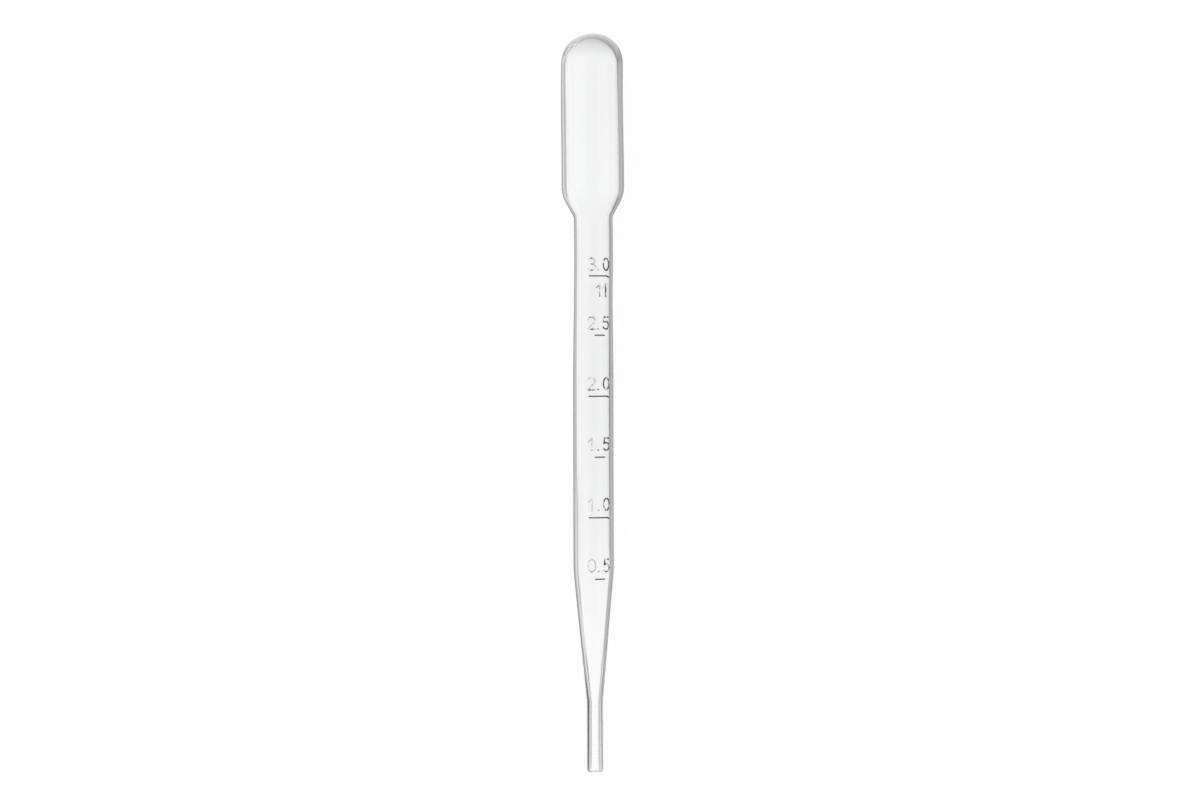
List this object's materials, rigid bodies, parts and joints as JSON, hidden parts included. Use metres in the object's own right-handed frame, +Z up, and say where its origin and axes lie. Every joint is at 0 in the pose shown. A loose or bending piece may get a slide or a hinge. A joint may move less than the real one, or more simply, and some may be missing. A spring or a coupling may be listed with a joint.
{
  "type": "plastic dropper pipette",
  "caption": "One-piece clear plastic dropper pipette with a squeeze bulb, a stem with a raised volume scale, a long cone and a fine open tip, lying on its side.",
  "frame": {"origin": "centre of the bottom face of the bounding box, on the surface that the pipette lies on", "axes": "+Z up; +Y along the pipette towards the bulb; +X to the right with the bulb ahead; the tube's axis rises 1.66 degrees towards the bulb, as it comes to rest"},
  "size_m": [0.0134, 0.16, 0.0142],
  "materials": {
    "clear_plastic": "clear, slightly milky flexible polyethylene with a soft gloss"
  },
  "bodies": {
    "root": {"pipette": "clear_plastic"}
  },
  "joints": []
}
